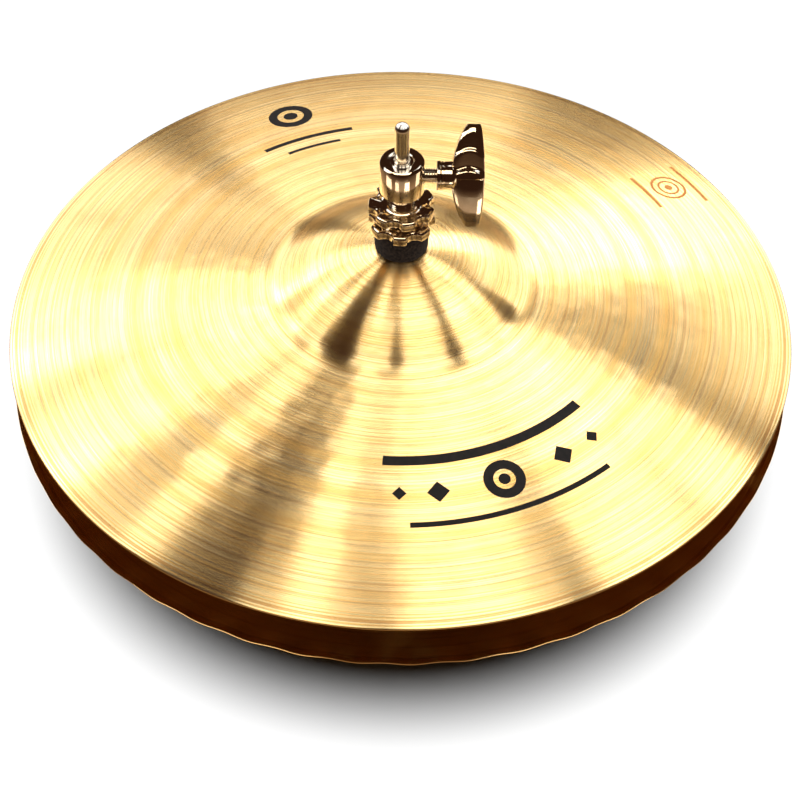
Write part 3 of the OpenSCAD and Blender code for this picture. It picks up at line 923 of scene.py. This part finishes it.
def makeSeat():
    look = seat
    bore, depth, tenon = look["socketBore"], look["socketDepth"], look["tenon"]
    guide, bushing = look["guide"], look["bushing"]
    low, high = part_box("tube_socket")
    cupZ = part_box("seat_plate")[0].z - 0.1 * mm - look["floor"]
    socket = turnedPiece("tubeSocket", "seat_base", chrome, "tube_socket", softCorners([
        (bore, low.z), (bore, depth), (bushing, depth), (bushing, cupZ), (guide, cupZ), (guide, high.z),
        (tenon, high.z), (tenon, cupZ), (look["socketRadius"], cupZ), (look["socketRadius"], low.z)],
        look["soften"]))
    boss = cylinderAlongX(bore + 1.2 * mm, high.x, look["boss"], look["setZ"])
    bmesh.ops.bevel(boss, geom=[e for e in boss.edges if e.calc_face_angle(0) > 1], offset=0.35 * mm,
                    affect="EDGES", segments=2, profile=0.5, material=-1)
    carve(socket, [boss], "UNION")
    carve(socket, [cylinderAlongX(4 * mm, high.x, look["hole"], look["setZ"], 0.3 * mm)])
    cupLow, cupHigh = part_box("seat_cup")
    outer, inner, cupFloor = look["cupRadius"], look["cupRadius"] - look["lip"], cupZ + look["floor"]
    cup = turnedPiece("seatCup", "seat_base", chrome, "seat_cup", softCorners([
        (tenon, cupZ), (tenon, cupFloor), (inner, cupFloor), (inner, cupHigh.z), (outer, cupHigh.z),
        (outer, cupZ)],
        look["soften"] * 1.5))
    bossDrop, hole = bmesh.new(), bmesh.new()
    for bm, levels in ((bossDrop, [(look["boss"] - 0.4 * mm, cupLow.z), (look["boss"], cupLow.z + 0.4 * mm),
                                   (look["boss"], cupZ + 1 * mm)]),
                       (hole, [(look["hole"] + 0.4 * mm, cupLow.z - 0.1 * mm),
                               (look["hole"], cupLow.z + 0.4 * mm), (look["hole"], cupFloor + 1 * mm)])):
        stackSolid(bm, levels, 64)
        shift(bm, -look["tiltX"], 0)
    carve(cup, [bossDrop], "UNION")
    carve(cup, [hole])
    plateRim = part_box("seat_plate")[1].x
    plate = plainRing("seatPlate", "seat_plate", chrome, "seat_plate", look["plateHole"], plateRim,
                      0.3 * mm, 128)
    nylonGuide = plainRing("seatSleeve", "seat_base", nylon, "seat_sleeve", look["guideHole"], guide,
                           0.5 * mm)
    brassGuide = plainRing("rodBushing", "seat_base", brass, "rod_bushing", look["rodHole"],
                           bushing, 0.3 * mm)
    return socket, cup, plate, nylonGuide, brassGuide


smallThread = {"radius": 2.5 * mm, "pitch": 0.8 * mm, "depth": 0.4 * mm}
tilt = {"x": -seat["tiltX"], "knobRadius": 7.2 * mm, "flutes": 24, "fluteDepth": 0.5 * mm}


def makeTiltGroup():
    knobLow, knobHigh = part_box("tilt_knob")
    outline = flutedOutline(tilt["knobRadius"], tilt["flutes"], tilt["fluteDepth"])
    bm = bmesh.new()
    stackRings(bm, hollowed([
        (2.5 * mm, knobLow.z + 0.6 * mm), (2.5 * mm, knobHigh.z), (4.2 * mm, knobHigh.z),
        (None, knobHigh.z - 0.25 * mm, 1.4 * mm),
        (None, knobHigh.z - 0.6 * mm, 0.35 * mm), (None, knobHigh.z - 1.3 * mm, 0.0),
        (None, knobLow.z + 1.2 * mm, 0.0), (None, knobLow.z + 0.5 * mm, 0.3 * mm),
        (None, knobLow.z, 1.2 * mm), (4.4 * mm, knobLow.z), (4.0 * mm, knobLow.z + 0.6 * mm)]), 240, outline)
    shift(bm, tilt["x"], 0)
    knob = linkPiece(bm, "tiltKnob", "tilt_screw", plastic, ["tilt_knob"], 40)
    low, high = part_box("tilt_screw")
    bm = bmesh.new()
    bottom, top = cutThread(bm, *smallThread.values(), low.z, high.z)
    closeEnd(bm, bottom)
    closeEnd(bm, top)
    shift(bm, tilt["x"], 0)
    screw = linkPiece(bm, "tiltScrew", "tilt_screw", steel, ["tilt_screw"], 50)
    low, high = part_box("tilt_foot")
    bm = bmesh.new()
    stackSolid(bm, [(1.0 * mm, low.z), (2.2 * mm, low.z), (2.5 * mm, low.z + 0.25 * mm),
                    (2.5 * mm, high.z - 0.7 * mm),
                            (2.3 * mm, high.z - 0.5 * mm), (1.4 * mm, high.z - 0.06 * mm),
                            (0.8 * mm, high.z)], 64)
    shift(bm, tilt["x"], 0)
    foot = linkPiece(bm, "tiltFoot", "tilt_foot", brass, ["tilt_foot"], 40)
    return knob, screw, foot


thumb = {"radius": 5.5 * mm, "flutes": 18, "fluteDepth": 0.45 * mm, "headLength": 5 * mm,
         "corner": ((0.7 * mm, 0.1 * mm), (0.1 * mm, 0.5 * mm), (0.0, 0.9 * mm))}


def makeSocketScrew():
    low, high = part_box("socket_screw")
    headX = high.x - thumb["headLength"]
    outline = flutedOutline(thumb["radius"], thumb["flutes"], thumb["fluteDepth"])
    bm = bmesh.new()
    tip, end = cutThread(bm, *smallThread.values(), low.x, headX)
    closeEnd(bm, tip)
    end = growRing(bm, end, outline, 3.6 * mm, headX)
    for inset, rise in thumb["corner"]:
        end = growRing(bm, end, outline, None, headX + rise, inset)
    bmesh.ops.subdivide_edges(bm, edges=end, cuts=4)
    end = [e for e in bm.edges if e.is_boundary]
    placeRing({v for e in end for v in e.verts}, outline, None, headX + thumb["corner"][-1][1])
    for inset, rise in thumb["corner"][::-1]:
        end = growRing(bm, end, outline, None, high.x - rise, inset)
    for radius, x in ((3.4 * mm, high.x), (3.0 * mm, high.x - 0.4 * mm)):
        end = growRing(bm, end, outline, radius, x)
    closeEnd(bm, end)
    layAlongX(bm, seat["setZ"])
    return linkPiece(bm, "socketScrew", "socket_screw", steel, ["socket_screw"], 40)


seatPieces = makeSeat()
tiltPieces = makeTiltGroup()
socketScrew = makeSocketScrew()
print("seat made")


# printed marks: plain geometric ornaments that lie on the top cymbal, with no lettering

marks = {"lift": 0.03 * mm, "thickness": 0.012 * mm,
         "arcs": {"blackMarks": ((-94, -42, 93, 97.2), (-88, -48, 122, 124.2), (102, 124, 108, 110.4),
                                 (106, 120, 100, 101.8)),
                  "amberMarks": ((28, 38, 153, 154.6), (28, 38, 128.4, 130))},
         "rings": {"blackMarks": ((-68, 109.5, 8.4, 4.4), (-68, 109.5, 2.4, 0.0), (113, 131, 10, 6),
                                  (113, 131, 3.2, 0.0)),
                   "amberMarks": ((33, 141.5, 8.2, 7.0), (33, 141.5, 5.0, 4.0), (33, 141.5, 1.8, 0.0))},
         "diamonds": {"blackMarks": ((-82, 109.5, 6.4), (-54, 109.5, 6.4), (-90, 109.5, 4.0),
                                     (-46, 109.5, 4.0)), "amberMarks": ()}}


def drapeOnTop(bm):
    for v in bm.verts:
        v.co.z = topEdgeZ + sheetPoint(v.co.xy.length)[1] + marks["lift"]


def makeMarks(name, ink):
    bm = bmesh.new()
    for start, end, low, high in marks["arcs"][name]:
        turn = radians(start)
        chain = [bm.verts.new((r * mm * cos(turn), r * mm * sin(turn), 0))
                 for r in (low, (low + high) / 2, high)]
        links = [bm.edges.new(pair) for pair in zip(chain, chain[1:])]
        bmesh.ops.spin(bm, geom=chain + links, cent=(0, 0, 0), axis=(0, 0, 1), angle=radians(end - start),
                       steps=4 * abs(end - start))
    for azimuth, r, outer, inner in marks["rings"][name]:
        old = set(bm.verts)
        ringEdges = stackRings(bm, [(outer * mm, 0), ((outer + inner) / 2 * mm, 0),
                                    (max(inner, 0.15) * mm, 0)], 72)
        if inner == 0:
            closeEnd(bm, ringEdges)
        moveOut([v for v in bm.verts if v not in old], bm, azimuth, r)
    for azimuth, r, size in marks["diamonds"][name]:
        made = bmesh.ops.create_grid(bm, x_segments=8, y_segments=8, size=size * mm / 2)["verts"]
        bmesh.ops.rotate(bm, verts=made, cent=(0, 0, 0), matrix=Matrix.Rotation(pi / 4, 3, "Z"))
        moveOut(made, bm, azimuth, r)
    drapeOnTop(bm)
    for f in bm.faces:
        f.normal_update()
        if f.normal.z < 0:
            f.normal_flip()
    bmesh.ops.solidify(bm, geom=bm.faces[:], thickness=marks["thickness"])
    return linkPiece(bm, name, "top_cymbal", ink)


def moveOut(verts, bm, azimuth, r):
    bmesh.ops.translate(bm, verts=verts, vec=(r * mm, 0, 0))
    bmesh.ops.rotate(bm, verts=verts, cent=(0, 0, 0), matrix=Matrix.Rotation(radians(azimuth), 3, "Z"))


blackMarks = makeMarks("blackMarks", blackInk)
amberMarks = makeMarks("amberMarks", amberInk)
print("marks printed")


# studio: a pale floor, soft boxes round the cymbals and the camera

studio = {
    "floorDrop": 2 * mm, "floorSize": 12.0, "floorTone": (0.3, 0.3, 0.3),
    "backdrop": 1.0, "fill": 0.0, "horizon": (0.035, 0.014, 0.007), "below": (0.42, 0.25, 0.13),
    "sunFrom": (0.0, -0.44, 0.86), "sunSpread": 0.30, "sunPower": 12.0,
    "lookAt": (0.0, 0.0, topEdgeZ - 51 * mm), "distance": 1.0, "elevation": radians(47.18),
    "focal": 102.06, "roll": radians(0.5), "boxDistance": 1.4,
    "partBoxDistance": 1.0, "partBoxColour": (1.0, 0.82, 0.58),
}
# each soft box is placed by the streak it throws: direction of the streak round the cymbal,
# tilts it starts and ends at, width of the box in metres and power for each square metre,
# and whether it reaches the clutch as well as the top cymbal
softBoxes = {
    "leftNear": (-132, 9, 25, 0.11, 7.4, False),
    "leftMiddle": (-148, 3, 36, 0.24, 7.4, False),
    "leftFar": (-169, 4, 34, 0.26, 6.7, False),
    "nearStrip": (-104.5, 9, 25, 0.11, 7.4, False),
    "nearBright": (-80, 3, 25, 0.33, 6.7, False),
    "rightMiddle": (-53, 3, 34, 0.28, 6.4, False),
    "rightFar": (-33, 6, 30, 0.22, 6.4, True),
    "bellLeft": (-139, 24, 46, 0.50, 6.0, True),
    "bellLeftFar": (-159, 28, 46, 0.60, 5.3, False),
    "bellNear": (-103, 24, 46, 0.46, 6.0, False),
    "bellFront": (-78, 24, 46, 0.60, 6.7, False),
    "bellRight": (-46, 26, 46, 0.80, 6.7, False),
    "bellSide": (-4, 20, 46, 0.90, 6.5, False),
    "bellBackLeft": (180, 20, 46, 0.90, 6.0, False),
    "backRight": (17, 3, 22, 0.32, 11.0, False),
    "backMiddle": (100, 3, 17, 0.56, 6.2, False),
}
# warm boxes for one part alone: azimuth and elevation they shine from, width, height,
# power for each square metre
clutchBoxes = {
    "barrelLeft": (-152, -47, 0.50, 1.2, 6.0),
    "barrelRight": (-66, -47, 0.40, 1.2, 9.0),
    "barrelMiddle": (-112, -47, 0.30, 1.2, 5.0),
    "barrelSide": (-10, -45, 0.45, 1.2, 5.0),
    "barrelBack": (120, -40, 0.50, 1.2, 5.0),
    "bevelFront": (-90, 70, 1.1, 0.5, 12.0),
    "bevelLeft": (-170, 45, 0.4, 0.5, 12.0),
    "wingLow": (-90, -22, 1.0, 0.3, 0.7),
}
underBoxes = {
    "underFront": (-45, -36, 0.7, 0.5, 9.0),
    "underRight": (45, -36, 0.7, 0.5, 9.0),
    "underBack": (135, -36, 0.7, 0.5, 9.0),
    "underLeft": (-135, -36, 0.7, 0.5, 9.0),
}


def makeFloor():
    bm = bmesh.new()
    bmesh.ops.create_grid(bm, x_segments=8, y_segments=8, size=studio["floorSize"] / 2)
    bmesh.ops.translate(bm, verts=bm.verts, vec=(0, 0, cadBounds[0][2] - studio["floorDrop"]))
    mesh = bpy.data.meshes.new("studioFloor")
    bm.to_mesh(mesh)
    bm.free()
    mesh.materials.append(newMaterial("floorPaint", studio["floorTone"], 0.0, 0.9)[0])
    floor = bpy.data.objects.new("studioFloor", mesh)
    scene.collection.objects.link(floor)
    floor.visible_glossy = False   # polished parts mirror the darker room instead
    return floor


def makeWorld():
    world = bpy.data.worlds.new("studioAir")
    world.use_nodes = True
    tree = world.node_tree
    back = tree.nodes["Background"]
    path = addNode(tree, "ShaderNodeLightPath").outputs
    plain = mapRange(tree, path["Is Camera Ray"], 0.0, 1.0, studio["fill"], studio["backdrop"])
    grey = addNode(tree, "ShaderNodeCombineColor")
    for socket in grey.inputs:
        plug(tree, socket, plain)
    way = addNode(tree, "ShaderNodeSeparateXYZ")
    plug(tree, way.inputs[0], addNode(tree, "ShaderNodeTexCoord").outputs["Generated"])
    mirrored = mixColour(tree, mapRange(tree, way.outputs["Z"], -0.15, -0.45), studio["horizon"],
                         studio["below"])
    plug(tree, back.inputs["Color"], mixColour(tree, path["Is Glossy Ray"], grey.outputs[0], mirrored))
    scene.world = world


def streakDirection(azimuth, tilt, towardsEye):
    # where a light must stand for its mirror line to lean by tilt towards azimuth
    around, lean = radians(azimuth), radians(tilt)
    half = Vector((sin(lean) * cos(around), sin(lean) * sin(around), cos(lean)))
    return 2 * half.dot(towardsEye) * half - towardsEye


def sparing(name, things, state="EXCLUDE"):
    # a light that is given this collection leaves these things dark, or with INCLUDE lights only them
    group = bpy.data.collections.new(name)
    for thing in things:
        group.objects.link(thing)
    for entry in group.collection_objects:
        entry.light_linking.link_state = state
    return group


def newLight(name, kind, place, turned, group):
    light = bpy.data.objects.new(name, bpy.data.lights.new(name, kind))
    scene.collection.objects.link(light)
    light.location, light.rotation_euler = place, turned.to_euler()
    light.light_linking.receiver_collection = group
    return light


def softBox(name, place, turned, group, size, strength):
    light = newLight(name, "AREA", place, turned, group)
    light.visible_camera = False
    light.data.shape, light.data.size, light.data.size_y = "RECTANGLE", *size
    light.data.energy = strength * light.data.size * size[1]
    return light


def lightPart(name, pieces, boxes, height):
    group = sparing(name, pieces, "INCLUDE")
    for boxName, (azimuth, elevation, width, tall, strength) in boxes.items():
        around, rise = radians(azimuth), radians(elevation)
        way = Vector((cos(rise) * cos(around), cos(rise) * sin(around), sin(rise)))
        place = Vector((0, 0, height)) + way * studio["partBoxDistance"]
        light = softBox(boxName, place, way.to_track_quat("Z", "Y"), group, (width, tall), strength)
        light.data.color = studio["partBoxColour"]
        light.light_linking.blocker_collection = group   # nothing else shades these


def makeLights(floor):
    clutchPieces = [upperLockNut, lowerLockNut, clutchBarrel, threadedSleeve, clampWasher, clampScrew,
                    wingHandle]
    underPieces = [bottomCymbal, socketScrew, *seatPieces, *tiltPieces]
    floorSpared = sparing("floorSpared", [floor, bottomCymbal])
    clutchSpared = sparing("clutchSpared", [floor, bottomCymbal] + clutchPieces)
    # no bronze glow in the floor's shadow
    topCymbal.visible_diffuse = bottomCymbal.visible_diffuse = False
    eye = Vector((0, -cos(studio["elevation"]), sin(studio["elevation"])))
    target = Vector((0, 0, topEdgeZ))
    for name, (azimuth, low, high, width, strength, onClutch) in softBoxes.items():
        ends = [target + streakDirection(azimuth, lean, eye) * studio["boxDistance"] for lean in (low, high)]
        middle = (ends[0] + ends[1]) / 2
        along = (ends[1] - ends[0]).normalized()
        back = (middle - target).normalized()
        back = (back - along * back.dot(along)).normalized()
        softBox(name, middle, Matrix((along, back.cross(along), back)).transposed(),
                floorSpared if onClutch else clutchSpared, ((ends[1] - ends[0]).length, width), strength)
    lightPart("clutchOnly", clutchPieces, clutchBoxes, clampZ)
    lightPart("underOnly", underPieces, underBoxes, bottomEdgeZ)
    sun = newLight("floorSun", "SUN", (0, 0, 0), Vector(studio["sunFrom"]).to_track_quat("Z", "Y"),
                   sparing("floorOnly", [floor], "INCLUDE"))
    sun.data.energy, sun.data.angle = studio["sunPower"], studio["sunSpread"]


def makeCamera():
    data = bpy.data.cameras.new("view")
    data.sensor_width, data.lens = 36.0, studio["focal"]
    camera = bpy.data.objects.new("view", data)
    scene.collection.objects.link(camera)
    up = studio["elevation"]
    back = Vector((0, -cos(up), sin(up)))
    camera.location = Vector(studio["lookAt"]) + back * studio["distance"]
    turned = back.to_track_quat("Z", "Y").to_matrix() @ Matrix.Rotation(studio["roll"], 3, "Z")
    camera.rotation_euler = turned.to_euler()
    scene.camera = camera


makeWorld()
makeLights(makeFloor())
makeCamera()
print("studio made")
